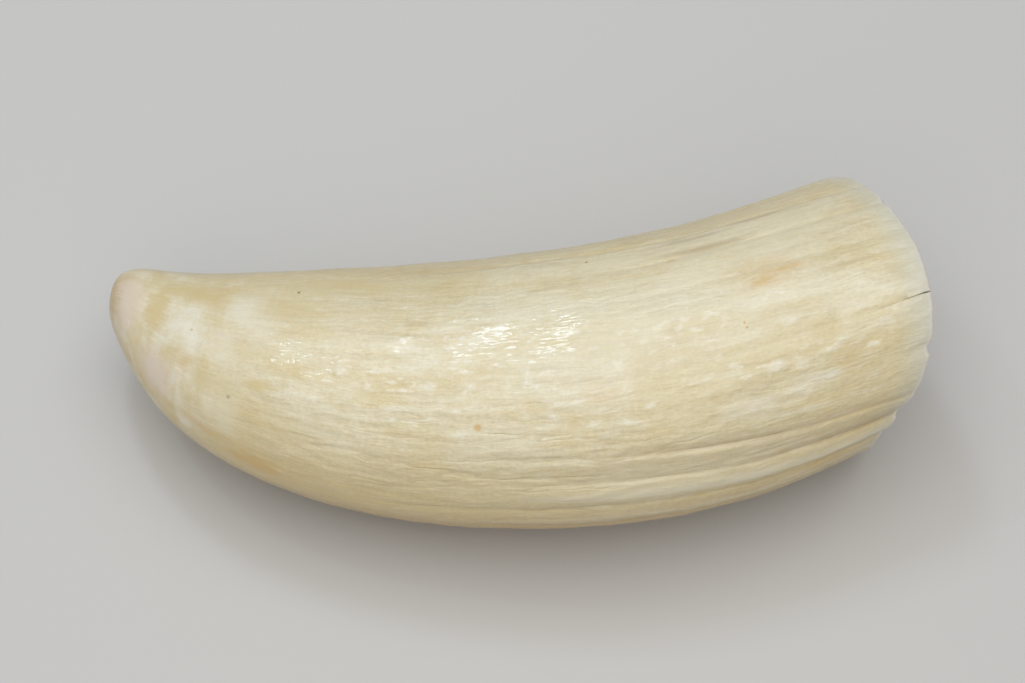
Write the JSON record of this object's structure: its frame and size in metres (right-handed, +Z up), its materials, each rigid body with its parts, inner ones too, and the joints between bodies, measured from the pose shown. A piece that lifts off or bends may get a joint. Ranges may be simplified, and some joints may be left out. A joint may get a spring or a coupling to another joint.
{
  "type": "sperm whale tooth",
  "caption": "Curved conical ivory tooth lying on its side, with a worn rounded tip, long grooves, and an open hollow root with a thin wavy edge.",
  "frame": {"origin": "middle of the box round the tooth, on the surface that it lies on", "axes": "+X from the tip to the open root along the tooth's longest extent, +Z up through its flattened side (shortest extent), +Y towards its hollow (concave) edge"},
  "size_m": [0.1566, 0.0722, 0.0447],
  "materials": {
    "ivory": "old cream ivory with a soft polish, glossier on the worn tip, rougher in the root's grooves"
  },
  "bodies": {
    "root": {"tooth": "ivory"}
  },
  "joints": []
}
